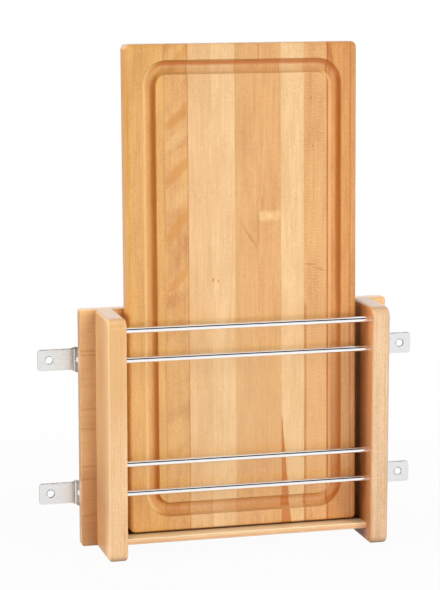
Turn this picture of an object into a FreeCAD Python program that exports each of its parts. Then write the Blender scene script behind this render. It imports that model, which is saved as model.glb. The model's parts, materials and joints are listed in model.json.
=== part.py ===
"""Door-mounted cutting-board rack with its cutting board, in millimetres.

A laminated cutting board with a juice groove stands in a small wooden rack. The rack is
a rear panel, two uprights, a thin bottom shelf and four round rails across the front.
Four stepped steel brackets behind the panel are screwed to the back of a cupboard door.

Frame: the origin is the centre of the four door screw holes, in the plane where the
brackets meet the door. +Z is up, +Y points into the door and +X is to the right for
someone who looks at the front of the rack.
"""
import FreeCAD
import Part
import math
import os
from FreeCAD import Vector

# ---- cutting board ------------------------------------------------------------------
board_width = 239.0
board_height = 494.0
board_thickness = 26.0
board_corner_radius = 5.5
board_edge_radius = 3.5
board_lean = 1.4                  # degrees, top towards the door
board_side_offset = 2.0           # the board stands this far right of the middle
first_stave_width = 15.0          # the trimmed stave at the left edge
stave_width = 24.0
groove_margin = 16.0              # board edge to the outside of the juice groove
groove_width = 14.5
groove_depth = 5.5
groove_corner_radius = 18.5       # centre line of the groove

# ---- room for the board in the rack -------------------------------------------------
board_side_room = 7.5             # board to each upright, when it stands in the middle
board_front_room = 13.1           # board's foot to the rails
board_panel_gap = 0.3             # board's back to the panel's top edge

# ---- uprights -----------------------------------------------------------------------
upright_thickness = 19.0
upright_height = 247.0
upright_top_radius = 10.0         # front top corner, seen from the side
upright_foot_radius = 8.0         # front bottom corner, seen from the side
upright_edge_radius = 3.5         # eased edges along both faces

# ---- rear panel ---------------------------------------------------------------------
panel_thickness = 12.0
panel_overhang = 16.0             # past the outside of each upright
panel_foot_height = 1.5           # its lower edge above the feet of the uprights
panel_corner_radius = 3.0
panel_edge_radius = 0.8

# ---- bottom shelf -------------------------------------------------------------------
shelf_thickness = 6.0
shelf_top_height = 18.8           # its top at the panel, above the feet of the uprights
shelf_front_setback = 14.0        # behind the front of the uprights
shelf_upright_housing = 6.0       # depth of the groove in each upright
shelf_panel_housing = 4.0         # depth of the groove in the rear panel
shelf_edge_radius = 1.2
glue_gap = 0.05                   # all round a glued joint

# ---- rails --------------------------------------------------------------------------
rail_diameter = 6.0
rail_setback = 16.0               # centre line behind the front of the uprights
rail_hole_depth = 10.0            # blind hole in each upright
rail_end_gap = 0.3                # between a rail's end and the bottom of its hole
rail_end_chamfer = 0.5
rail_fit = 0.02                   # radial gap in the hole
rail_pair_spacing = 30.0
rails_above_foot = 67.0           # lowest rail above the feet of the uprights
rails_below_top = 14.0            # highest rail below the tops of the uprights

# ---- door brackets ------------------------------------------------------------------
bracket_sheet = 1.5
bracket_standoff = 18.0           # door to the back of the rear panel
bracket_bend_radius = 1.5         # inside of each bend
bracket_wall_slope = 70.0         # degrees between the standoff wall and the door
bracket_wall_height = 26.0
bracket_tab_height = 22.0
bracket_tab_length = 39.0         # door-side bend to the end of the tab
bracket_corner_radius = 3.0
bracket_flare_radius = 1.5        # corners where the tab widens to the wall
bracket_flare_length = 4.5
bracket_bend_inset = 0.5          # door-side bend inside the end of the panel
bracket_flange_length = 27.0
brackets_above_foot = 51.5        # lower hole row above the feet of the uprights
brackets_below_top = 55.5         # upper hole row below the tops of the uprights
door_hole_diameter = 7.5
door_hole_end_distance = 12.0     # hole centre to the end of the tab
wall_hole_diameter = 6.5
wall_hole_distance = 5.0          # hole centre to the door-side bend, along the wall

# ---- screws -------------------------------------------------------------------------
bracket_screw_diameter = 3.5
bracket_screw_cover = 3.5         # panel thickness left beyond the tips
bracket_screw_head_diameter = 7.0
bracket_screw_head_height = 2.2
bracket_screw_head_radius = 1.0   # rounded rim of the head
bracket_screw_spacing = 13.0      # two screws above each other in each flange
panel_screw_diameter = 4.0
panel_screw_length = 36.0
panel_screw_head_diameter = 8.0
panel_screw_end_distance = 27.0   # outermost screws from the ends of each upright
panel_screws_per_upright = 3
screw_head_recess = 0.3           # countersunk heads below the panel's back
screw_hole_fit = 0.05             # radial gap round a shank in wood
screw_clearance = 0.25            # radial gap round a shank in a drilled piece
screw_tip_gap = 1.0               # hole deeper than the screw
screw_point_length = 3.5          # the pointed end of each shank
screw_point_diameter = 0.6
cross_recess_width = 0.9
cross_recess_depth = 1.1
cross_recess_length = 4.2

# ---- places that follow from the sizes ----------------------------------------------
cut_overrun = 1.0                 # how far a cutting tool runs past a face
on_face = 1e-4                    # an edge this close to a plane lies on it
same_point = 1e-6                 # points this close are one point
fillet_share = 0.95               # largest fillet, as a share of the wall beside it
door_hole_spacing_z = upright_height - brackets_above_foot - brackets_below_top
foot_z = -(brackets_above_foot + door_hole_spacing_z / 2)
top_z = foot_z + upright_height
shelf_top_z = foot_z + shelf_top_height
lean = math.radians(board_lean)

inner_half = board_width / 2 + board_side_room
half_rack = inner_half + upright_thickness
panel_half_width = half_rack + panel_overhang
bend_x = panel_half_width - bracket_bend_inset
tab_end_x = bend_x + bracket_tab_length
door_hole_x = tab_end_x - door_hole_end_distance

panel_back_y = -bracket_standoff
panel_front_y = panel_back_y - panel_thickness
lean_run = (top_z - shelf_top_z) * math.tan(lean)
board_run = (board_thickness + board_panel_gap) / math.cos(lean)
board_foot_y = panel_front_y - lean_run - board_run
rail_radius = rail_diameter / 2
rail_y = board_foot_y - board_front_room - rail_radius
rack_front_y = rail_y - rail_setback
shelf_front_y = rack_front_y + shelf_front_setback
bracket_screw_length = bracket_sheet + panel_thickness - bracket_screw_cover

rail_heights = {
    "lower_rail_low": rails_above_foot,
    "lower_rail_top": rails_above_foot + rail_pair_spacing,
    "upper_rail_low": upright_height - rails_below_top - rail_pair_spacing,
    "upper_rail_top": upright_height - rails_below_top,
}

X_AXIS = Vector(1, 0, 0)
Y_AXIS = Vector(0, 1, 0)
Z_AXIS = Vector(0, 0, 1)


# ---- helpers ------------------------------------------------------------------------
def box(x_range, y_range, z_range):
    """Box between the given low and high values on each axis."""
    size = [high - low for low, high in (x_range, y_range, z_range)]
    return Part.makeBox(*size, Vector(x_range[0], y_range[0], z_range[0]))


def within_wall(radius, wall):
    """A fillet radius, kept just under what the wall beside it leaves room for."""
    return min(radius, wall * fillet_share)


def rod(radius, length, start, axis):
    """Round bar from a start point along an axis."""
    return Part.makeCylinder(radius, length, start, axis)


def rounded_wire(corners, radii, closed):
    """Polyline through the corners, with an arc of its own radius at each corner.

    A radius of zero leaves the corner sharp, and an open wire keeps its two ends.
    """
    count = len(corners)
    entries = []
    for index, corner in enumerate(corners):
        is_end = not closed and index in (0, count - 1)
        if is_end or radii[index] == 0:
            entries.append((corner, None, corner))
            continue
        to_last = (corners[index - 1] - corner).normalize()
        to_next = (corners[(index + 1) % count] - corner).normalize()
        half_angle = to_last.getAngle(to_next) / 2
        run = radii[index] / math.tan(half_angle)
        bisector = (to_last + to_next).normalize()
        reach = radii[index] / math.sin(half_angle)
        middle = corner + bisector * (reach - radii[index])
        entries.append((corner + to_last * run, middle, corner + to_next * run))
    edges = []
    for index, (start, middle, end) in enumerate(entries):
        if middle is not None:
            edges.append(Part.Arc(start, middle, end).toShape())
        if closed or index < count - 1:
            next_start = entries[(index + 1) % count][0]
            if end.distanceToPoint(next_start) > same_point:
                edges.append(Part.LineSegment(end, next_start).toShape())
    return Part.Wire(edges)


def rounded_rectangle(half_x, low_z, high_z, radius):
    """Closed rectangle in the XZ plane with round corners."""
    corners = [
        Vector(-half_x, 0, low_z),
        Vector(half_x, 0, low_z),
        Vector(half_x, 0, high_z),
        Vector(-half_x, 0, high_z),
    ]
    return rounded_wire(corners, [radius] * 4, True)


def edges_on_plane(shape, axis_name, value):
    """Edges that lie wholly at one value of x, y or z."""
    found = []
    for edge in shape.Edges:
        low = getattr(edge.BoundBox, axis_name + "Min")
        high = getattr(edge.BoundBox, axis_name + "Max")
        if abs(low - value) < on_face and abs(high - value) < on_face:
            found.append(edge)
    return found


def tilted(shape):
    """Lean a shape back with the board, about the shelf's top where it meets the panel."""
    shape.rotate(Vector(0, panel_front_y, shelf_top_z), X_AXIS, -board_lean)
    return shape


def mirrored_left(shape):
    """The left-hand copy of a piece made for the right-hand side."""
    return shape.mirror(Vector(0, 0, 0), X_AXIS)


# ---- screws -------------------------------------------------------------------------
def cross_recess(head_radius, head_y):
    """The driver's cross, sunk into a head whose top faces +Y at head_y."""
    reach = min(cross_recess_length / 2, head_radius)
    half = cross_recess_width / 2
    depth = (head_y - cross_recess_depth, head_y + cut_overrun)
    upright_slot = box((-half, half), depth, (-reach, reach))
    level_slot = box((-reach, reach), depth, (-half, half))
    return upright_slot.fuse(level_slot)


def pointed_shank(diameter, tip_y):
    """Screw shank from y = 0 to a point at tip_y, which is below zero."""
    radius = diameter / 2
    straight_length = -tip_y - screw_point_length
    shank = rod(radius, straight_length, Vector(0, 0, 0), -Y_AXIS)
    point_start = Vector(0, -straight_length, 0)
    point_radius = screw_point_diameter / 2
    point = Part.makeCone(radius, point_radius, screw_point_length, point_start, -Y_AXIS)
    return shank.fuse(point)


def pan_head_screw():
    """Bracket screw along Y: its head sits on y = 0 and its shank runs to -Y."""
    head_radius = bracket_screw_head_diameter / 2
    shank = pointed_shank(bracket_screw_diameter, -bracket_screw_length)
    head = rod(head_radius, bracket_screw_head_height, Vector(0, 0, 0), Y_AXIS)
    rim = edges_on_plane(head, "Y", bracket_screw_head_height)
    head = head.makeFillet(within_wall(bracket_screw_head_radius, bracket_screw_head_height), rim)
    recess = cross_recess(head_radius, bracket_screw_head_height)
    return shank.fuse(head).cut(recess).removeSplitter()


def countersunk_screw():
    """Panel screw along Y: the top of its 90 degree head is at y = 0, and it runs to -Y."""
    radius = panel_screw_diameter / 2
    head_radius = panel_screw_head_diameter / 2
    head = Part.makeCone(head_radius, radius, head_radius - radius, Vector(0, 0, 0), -Y_AXIS)
    shank = pointed_shank(panel_screw_diameter, -panel_screw_length)
    return head.fuse(shank).cut(cross_recess(head_radius, 0)).removeSplitter()


def panel_screw_places():
    """Centre of each panel screw on the panel's back, on the uprights' centre lines."""
    span = upright_height - 2 * panel_screw_end_distance
    step = span / (panel_screws_per_upright - 1)
    places = []
    for side in (-1, 1):
        for index in range(panel_screws_per_upright):
            z = foot_z + panel_screw_end_distance + index * step
            x = side * (half_rack - upright_thickness / 2)
            places.append(Vector(x, panel_back_y, z))
    return places


def panel_screw_hole():
    """Tool for one screw hole: the clear hole, countersink and pilot hole along Y."""
    clear_radius = panel_screw_diameter / 2 + screw_clearance
    pilot_radius = panel_screw_diameter / 2 + screw_hole_fit
    rim_radius = panel_screw_head_diameter / 2 + screw_clearance + screw_head_recess
    sink_height = rim_radius - clear_radius
    clear = rod(clear_radius, panel_thickness, Vector(0, 0, 0), -Y_AXIS)
    sink = Part.makeCone(rim_radius, clear_radius, sink_height, Vector(0, 0, 0), -Y_AXIS)
    pilot_length = panel_screw_length + screw_head_recess + screw_tip_gap
    pilot = rod(pilot_radius, pilot_length, Vector(0, 0, 0), -Y_AXIS)
    return clear.fuse([sink, pilot])


def panel_screws():
    """All the screws that hold the panel to the uprights, as one group."""
    screws = []
    for place in panel_screw_places():
        screw = countersunk_screw()
        screw.translate(place - Y_AXIS * screw_head_recess)
        screws.append(screw)
    return Part.makeCompound(screws)


# ---- door brackets ------------------------------------------------------------------
def bracket_rows():
    """Height of the lower and the upper pair of brackets."""
    return {"lower": -door_hole_spacing_z / 2, "upper": door_hole_spacing_z / 2}


def bracket_plan():
    """Middle line of a right-hand bracket's sheet, seen from above, from tab to flange."""
    tab_y = -bracket_sheet / 2
    flange_y = panel_back_y + bracket_sheet / 2
    wall_run = (tab_y - flange_y) / math.tan(math.radians(bracket_wall_slope))
    flange_x = bend_x - wall_run
    return [
        Vector(tab_end_x, tab_y, 0),
        Vector(bend_x, tab_y, 0),
        Vector(flange_x, flange_y, 0),
        Vector(flange_x - bracket_flange_length, flange_y, 0),
    ]


def bracket_strip():
    """The bent sheet at its full height, before it is trimmed and drilled."""
    plan = bracket_plan()
    middle_radius = bracket_bend_radius + bracket_sheet / 2
    path = rounded_wire(plan, [middle_radius] * len(plan), False)
    half_height = max(bracket_wall_height, bracket_tab_height) / 2
    low_z = Vector(0, 0, -half_height)
    high_z = Vector(0, 0, half_height)
    inner = plan[0] - Y_AXIS * bracket_sheet / 2
    outer = plan[0] + Y_AXIS * bracket_sheet / 2
    corners = [inner + low_z, outer + low_z, outer + high_z, inner + high_z]
    section = Part.makePolygon(corners + corners[:1])
    return path.makePipeShell([section], True, True)


def bracket_outline():
    """Front outline, as a block to trim the strip with: the tab flares to the wall."""
    flange_end = bracket_plan()[-1]
    half_tab = bracket_tab_height / 2
    half_wall = bracket_wall_height / 2
    upper = [
        (flange_end.x, half_wall, bracket_corner_radius),
        (bend_x, half_wall, bracket_flare_radius),
        (bend_x + bracket_flare_length, half_tab, bracket_flare_radius),
        (tab_end_x, half_tab, bracket_corner_radius),
    ]
    lower = [(x, -z, radius) for x, z, radius in reversed(upper)]
    corners = [Vector(x, 0, z) for x, z, radius in upper + lower]
    radii = [radius for x, z, radius in upper + lower]
    face = Part.Face(rounded_wire(corners, radii, True))
    face.translate(Y_AXIS * (panel_back_y - cut_overrun))
    return face.extrude(Y_AXIS * (bracket_standoff + 2 * cut_overrun))


def flange_screw_places(row_z):
    """Centres of a right-hand bracket's two screws, in the middle of the flange's back."""
    flange_bend, flange_end = bracket_plan()[-2:]
    x = (flange_bend.x + flange_end.x) / 2
    y = panel_back_y + bracket_sheet
    half = bracket_screw_spacing / 2
    return [Vector(x, y, row_z - half), Vector(x, y, row_z + half)]


def hole_through(radius, middle, axis):
    """Tool for a hole through the sheet, from either of its faces."""
    half_length = bracket_sheet + cut_overrun
    return rod(radius, 2 * half_length, middle - axis * half_length, axis)


def right_bracket(row_z):
    """Stepped bracket: door tab, sloping standoff wall and flange on the panel's back."""
    tab_end, door_bend, flange_bend, flange_end = bracket_plan()
    along_wall = (flange_bend - door_bend).normalize()
    wall_hole_middle = door_bend + along_wall * wall_hole_distance
    wall_normal = along_wall.cross(Z_AXIS)
    door_hole_middle = Vector(door_hole_x, tab_end.y, 0)
    holes = [
        hole_through(door_hole_diameter / 2, door_hole_middle, Y_AXIS),
        hole_through(wall_hole_diameter / 2, wall_hole_middle, wall_normal),
    ]
    for place in flange_screw_places(0):
        holes.append(hole_through(bracket_screw_diameter / 2 + screw_clearance, place, Y_AXIS))
    bracket = bracket_strip().common(bracket_outline()).cut(holes)
    bracket.translate(Z_AXIS * row_z)
    return bracket


def bracket_screws():
    """All the screws that hold the brackets to the panel, as one group."""
    screws = []
    for row_z in bracket_rows().values():
        for place in flange_screw_places(row_z):
            screw = pan_head_screw()
            screw.translate(place)
            screws.extend([screw, mirrored_left(screw)])
    return Part.makeCompound(screws)


def bracket_screw_holes():
    """Pilot holes in the panel's back for the bracket screws of both sides."""
    radius = bracket_screw_diameter / 2 + screw_hole_fit
    depth = bracket_screw_length - bracket_sheet + screw_tip_gap
    holes = []
    for row_z in bracket_rows().values():
        for place in flange_screw_places(row_z):
            start = Vector(place.x, panel_back_y, place.z)
            hole = rod(radius, depth, start, -Y_AXIS)
            holes.extend([hole, mirrored_left(hole)])
    return holes


# ---- shelf --------------------------------------------------------------------------
def shelf_slab(gap):
    """The shelf as a level slab, grown by a gap, before it is tilted with the board."""
    half_width = inner_half + shelf_upright_housing + gap
    reach_forward = (panel_front_y - shelf_front_y) / math.cos(lean)
    slab = box(
        (-half_width, half_width),
        (panel_front_y - reach_forward - gap, panel_front_y + shelf_panel_housing + gap),
        (shelf_top_z - shelf_thickness - gap, shelf_top_z + gap),
    )
    return slab


def bottom_shelf():
    """The shelf, notched at its back corners so that its tongue fits between uprights."""
    slab = shelf_slab(0)
    front_rim = edges_on_plane(slab, "Y", slab.BoundBox.YMin)
    front_edges = [edge for edge in front_rim if edge.BoundBox.XLength > on_face]
    eased_radius = within_wall(shelf_edge_radius, shelf_thickness / 2)
    slab = tilted(slab.makeFillet(eased_radius, front_edges))
    for side in (-1, 1):
        near_x = side * inner_half
        far_x = side * (inner_half + shelf_upright_housing + cut_overrun)
        notch = box(
            sorted((near_x, far_x)),
            (panel_front_y - glue_gap, panel_back_y),
            (foot_z, top_z),
        )
        slab = slab.cut(notch)
    return slab


def shelf_housing():
    """Tool that cuts the shelf's grooves, with a glue gap all round."""
    return tilted(shelf_slab(glue_gap))


# ---- uprights, panel and rails ------------------------------------------------------
def upright(side):
    """One upright: side is -1 for the left one and 1 for the right one."""
    outer_x = side * half_rack
    inner_x = side * inner_half
    low_x = min(outer_x, inner_x)
    corners = [
        Vector(low_x, panel_front_y, foot_z),
        Vector(low_x, rack_front_y, foot_z),
        Vector(low_x, rack_front_y, top_z),
        Vector(low_x, panel_front_y, top_z),
    ]
    profile = rounded_wire(corners, [0, upright_foot_radius, upright_top_radius, 0], True)
    body = Part.Face(profile).extrude(X_AXIS * upright_thickness)
    rims = edges_on_plane(body, "X", outer_x) + edges_on_plane(body, "X", inner_x)
    eased = [edge for edge in rims if edge.BoundBox.YMin < panel_front_y - on_face]
    smallest_corner = min(upright_foot_radius, upright_top_radius)
    body = body.makeFillet(within_wall(upright_edge_radius, smallest_corner), eased)

    cuts = [shelf_housing()]
    for height in rail_heights.values():
        start = Vector(inner_x - side * cut_overrun, rail_y, foot_z + height)
        hole_length = rail_hole_depth + cut_overrun
        cuts.append(rod(rail_radius + rail_fit, hole_length, start, X_AXIS * side))
    for place in panel_screw_places():
        if place.x * side > 0:
            hole = panel_screw_hole()
            hole.translate(place)
            cuts.append(hole)
    return body.cut(cuts)


def rear_panel():
    """The panel that carries the uprights in front and the brackets behind."""
    wire = rounded_rectangle(
        panel_half_width, foot_z + panel_foot_height, top_z, panel_corner_radius
    )
    face = Part.Face(wire)
    face.translate(Y_AXIS * panel_front_y)
    panel = face.extrude(Y_AXIS * panel_thickness)
    eased = edges_on_plane(panel, "Y", panel_front_y)
    eased += edges_on_plane(panel, "Y", panel_back_y)
    panel = panel.makeFillet(within_wall(panel_edge_radius, panel_corner_radius), eased)

    between_uprights = box(
        (-inner_half - glue_gap, inner_half + glue_gap),
        (rack_front_y, panel_back_y),
        (foot_z, top_z),
    )
    cuts = [shelf_housing().common(between_uprights)] + bracket_screw_holes()
    for place in panel_screw_places():
        hole = panel_screw_hole()
        hole.translate(place)
        cuts.append(hole)
    return panel.cut(cuts)


def rail(height):
    """Round rail across the front, let into both uprights."""
    half_length = inner_half + rail_hole_depth - rail_end_gap
    start = Vector(-half_length, rail_y, foot_z + height)
    bar = rod(rail_radius, 2 * half_length, start, X_AXIS)
    ends = edges_on_plane(bar, "X", -half_length) + edges_on_plane(bar, "X", half_length)
    return bar.makeChamfer(within_wall(rail_end_chamfer, rail_radius), ends)


# ---- cutting board ------------------------------------------------------------------
def juice_groove():
    """Tool for the round-bottomed channel all round the front face, which is at y = 0."""
    section_radius = (groove_width ** 2 / 4 + groove_depth ** 2) / (2 * groove_depth)
    centre_y = groove_depth - section_radius
    inset = groove_margin + groove_width / 2
    half_width = board_width / 2 - inset
    start = Vector(0, centre_y, inset)
    corners = [
        start,
        Vector(half_width, centre_y, inset),
        Vector(half_width, centre_y, board_height - inset),
        Vector(-half_width, centre_y, board_height - inset),
        Vector(-half_width, centre_y, inset),
    ]
    path = rounded_wire(corners, [0] + [groove_corner_radius] * 4, True)
    section = Part.Wire(Part.makeCircle(section_radius, start, X_AXIS))
    return path.makePipeShell([section], True, False)


def board_blank():
    """The whole board in its own frame: front face at y = 0, bottom at z = 0."""
    wire = rounded_rectangle(board_width / 2, 0, board_height, board_corner_radius)
    blank = Part.Face(wire).extrude(Y_AXIS * board_thickness)
    rims = edges_on_plane(blank, "Y", 0) + edges_on_plane(blank, "Y", board_thickness)
    smallest_wall = min(board_corner_radius, board_thickness / 2)
    rounded = blank.makeFillet(within_wall(board_edge_radius, smallest_wall), rims)
    return rounded.cut(juice_groove())


def stave_sides():
    """Left and right side of each stave: full widths, with the two outer ones trimmed."""
    limits = [-board_width / 2, first_stave_width - board_width / 2]
    while limits[-1] + stave_width < board_width / 2:
        limits.append(limits[-1] + stave_width)
    limits.append(board_width / 2)
    return list(zip(limits[:-1], limits[1:]))


def stood_in_rack(shape):
    """Stand a piece of the board on the sloping shelf, just clear of the panel."""
    back_y = panel_front_y - (top_z - shelf_top_z) * math.sin(lean) - board_panel_gap
    shape.translate(Vector(board_side_offset, back_y - board_thickness, shelf_top_z))
    return tilted(shape)


def board_staves():
    """The staves of the board, from left to right, by name."""
    blank = board_blank()
    staves = {}
    for index, (left, right) in enumerate(stave_sides(), start=1):
        slab = box(
            (left, right),
            (-cut_overrun, board_thickness + cut_overrun),
            (-cut_overrun, board_height + cut_overrun),
        )
        staves[f"board_stave_{index:02d}"] = stood_in_rack(blank.common(slab))
    return staves


# ---- all the pieces -----------------------------------------------------------------
def pieces():
    """Every node of the part, by name."""
    nodes = {
        "rear_panel": rear_panel(),
        "left_upright": upright(-1),
        "right_upright": upright(1),
        "bottom_shelf": bottom_shelf(),
        "panel_screws": panel_screws(),
        "bracket_screws": bracket_screws(),
    }
    for name, height in rail_heights.items():
        nodes[name] = rail(height)
    for row, row_z in bracket_rows().items():
        bracket = right_bracket(row_z)
        nodes[f"{row}_right_bracket"] = bracket
        nodes[f"{row}_left_bracket"] = mirrored_left(bracket)
    nodes.update(board_staves())
    return nodes


os.makedirs("parts", exist_ok=True)
for name, shape in pieces().items():
    shape.exportStep(f"parts/{name}.step")
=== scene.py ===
"""Finish and stage for a cutting board in a door-mounted rack.

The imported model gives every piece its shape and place. This script gives each piece its
wood or metal, and adds the floor, the lights and the camera. The stage is laid out in
metres, and the patterns of the wood and metal are worked out in millimetres. The frame is
the model's own: +Z up, the front towards -Y.
"""
import bpy
import json
import math
import numpy as np
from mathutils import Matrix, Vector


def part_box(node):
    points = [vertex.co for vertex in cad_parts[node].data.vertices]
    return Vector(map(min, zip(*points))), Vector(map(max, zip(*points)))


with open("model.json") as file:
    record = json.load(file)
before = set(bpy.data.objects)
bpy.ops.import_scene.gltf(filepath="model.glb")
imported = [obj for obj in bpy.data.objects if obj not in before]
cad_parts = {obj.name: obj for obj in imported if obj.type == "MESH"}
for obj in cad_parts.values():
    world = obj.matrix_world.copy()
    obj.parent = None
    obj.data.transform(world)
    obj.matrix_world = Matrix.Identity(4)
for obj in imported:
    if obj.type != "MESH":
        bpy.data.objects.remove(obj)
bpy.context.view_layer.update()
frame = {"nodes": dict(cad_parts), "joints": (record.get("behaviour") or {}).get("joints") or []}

bl_info = {
    "name": "Cutting Board Rack",
    "version": (1, 0, 0),
    "blender": (4, 5, 0),
    "location": "3D View > Sidebar > Board Rack",
    "description": "Wood, metal and stage for a cutting board in a door-mounted rack",
    "category": "Object",
}

MM = 1000.0                      # millimetres in a metre
# The staves go from left to right, and STAVES[5] is the middle one.
STAVES = sorted(name for name in frame["nodes"] if name.startswith("board_stave_"))
RAILS = sorted(name for name in frame["nodes"] if "_rail_" in name)
BRACKETS = sorted(name for name in frame["nodes"] if name.endswith("_bracket"))
SCREWS = sorted(name for name in frame["nodes"] if name.endswith("_screws"))
LIFT_AXIS = frame["joints"][0]["axis"]          # up along the leaning board


# ---- shader arithmetic --------------------------------------------------------------
class Field:
    """A shader socket that Python arithmetic can be done on.

    Each operator adds the Math node of its name, and works with a number on either side,
    so 1 - mask and a * b work as they read.
    """

    def __init__(self, nodes, socket):
        self.nodes = nodes
        self.socket = socket

    def __add__(self, other):
        return self.nodes.maths("ADD", self, other)

    def __radd__(self, other):
        return self.nodes.maths("ADD", other, self)

    def __sub__(self, other):
        return self.nodes.maths("SUBTRACT", self, other)

    def __rsub__(self, other):
        return self.nodes.maths("SUBTRACT", other, self)

    def __mul__(self, other):
        return self.nodes.maths("MULTIPLY", self, other)

    def __rmul__(self, other):
        return self.nodes.maths("MULTIPLY", other, self)

    def __truediv__(self, other):
        return self.nodes.maths("DIVIDE", self, other)

    def __rtruediv__(self, other):
        return self.nodes.maths("DIVIDE", other, self)

    def __pow__(self, other):
        return self.nodes.maths("POWER", self, other)

    def __rpow__(self, other):
        return self.nodes.maths("POWER", other, self)


class Nodes:
    """A node tree that is filled by calls, from coordinates to the output."""

    def __init__(self, tree):
        self.tree = tree
        tree.nodes.clear()

    @staticmethod
    def pick(sockets, key):
        """The socket in use whose identifier or name is the key."""
        for socket in sockets:
            if socket.enabled and key in (socket.identifier, socket.name):
                return socket
        raise KeyError(f"no socket {key!r}")

    def node(self, kind, settings, inputs, output):
        """Any node: its settings are set first, then its sockets are given or linked."""
        made = self.tree.nodes.new(kind)
        for key, value in settings.items():
            setattr(made, key, value)
        for key, value in inputs.items():
            socket = self.pick(made.inputs, key)
            if isinstance(value, Field):
                self.tree.links.new(value.socket, socket)
            else:
                socket.default_value = value
        return Field(self, self.pick(made.outputs, output)) if output else made

    def maths(self, operation, *values):
        """One Math node on one or two fields or numbers."""
        inputs = dict(zip(("Value", "Value_001"), values))
        return self.node("ShaderNodeMath", {"operation": operation}, inputs, "Value")

    def mix(self, factor, first, second):
        """Colour that goes from the first to the second as the factor goes from 0 to 1."""
        settings = {"data_type": "RGBA", "clamp_factor": True}
        inputs = {"Factor_Float": factor, "A_Color": first, "B_Color": second}
        return self.node("ShaderNodeMix", settings, inputs, "Result_Color")

    def step(self, value, low, high):
        """Smooth step from 0 at low to 1 at high."""
        settings = {"interpolation_type": "SMOOTHSTEP"}
        inputs = {"Value": value, "From Min": low, "From Max": high}
        return self.node("ShaderNodeMapRange", settings, inputs, "Result")

    def fall(self, value, low, high):
        """Smooth step down, from 1 at low to 0 at high."""
        return 1 - self.step(value, low, high)

    def join(self, x, y, z):
        """Vector from three fields or numbers."""
        return self.node("ShaderNodeCombineXYZ", {}, {"X": x, "Y": y, "Z": z}, "Vector")

    def split(self, vector):
        """The three components of a vector."""
        made = self.node("ShaderNodeSeparateXYZ", {}, {"Vector": vector}, None)
        return [Field(self, made.outputs[axis]) for axis in "XYZ"]

    def noise(self, vector, detail):
        """Noise of about unit size in the vector's own units, centred on 0.5."""
        inputs = {"Vector": vector, "Scale": 1.0, "Detail": detail}
        return self.node("ShaderNodeTexNoise", {}, inputs, "Fac")

    def coordinates(self, output):
        """Places or normals on the object, or the world's directions, by the output's name."""
        return self.node("ShaderNodeTexCoord", {}, {}, output)


class Surface(Nodes):
    """A material under construction, with one Principled shader at its end."""

    def __init__(self, name):
        self.material = bpy.data.materials.new(name)
        self.material.use_nodes = True
        super().__init__(self.material.node_tree)

    def finish(self, inputs, bump, bump_strength, bump_mm):
        """Wire the shader to the output. The bump field is a height, in units of bump_mm."""
        height = {"Height": bump, "Strength": bump_strength, "Distance": bump_mm / MM}
        inputs["Normal"] = self.node("ShaderNodeBump", {}, height, "Normal")
        shader = self.node("ShaderNodeBsdfPrincipled", {}, inputs, "BSDF")
        self.node("ShaderNodeOutputMaterial", {}, {"Surface": shader}, None)
        return self.material


def linear(red, green, blue):
    """Linear colour, with alpha, from display values between 0 and 255."""
    channels = []
    for value in (red, green, blue):
        share = value / 255
        curved = ((share + 0.055) / 1.055) ** 2.4
        channels.append(share / 12.92 if share <= 0.04045 else curved)
    return (*channels, 1.0)


def shade(colour, factor):
    """A colour made lighter or darker by a factor."""
    return (*[channel * factor for channel in colour[:3]], 1.0)


# ---- wood ---------------------------------------------------------------------------
SEED_STRIDE = 137.0              # so far apart are two pieces' places in the noise
END_FACE_MIX = 0.80
END_FACE_SHADE = 0.84
LACQUER_CUT = 0.85               # how much of the lacquer is gone where the wood is bare
# The axis and the sign of each direction that a painter asks about.
DIRECTIONS = {"left": (0, -1), "right": (0, 1), "front": (1, -1), "down": (2, -1), "up": (2, 1)}


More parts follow.
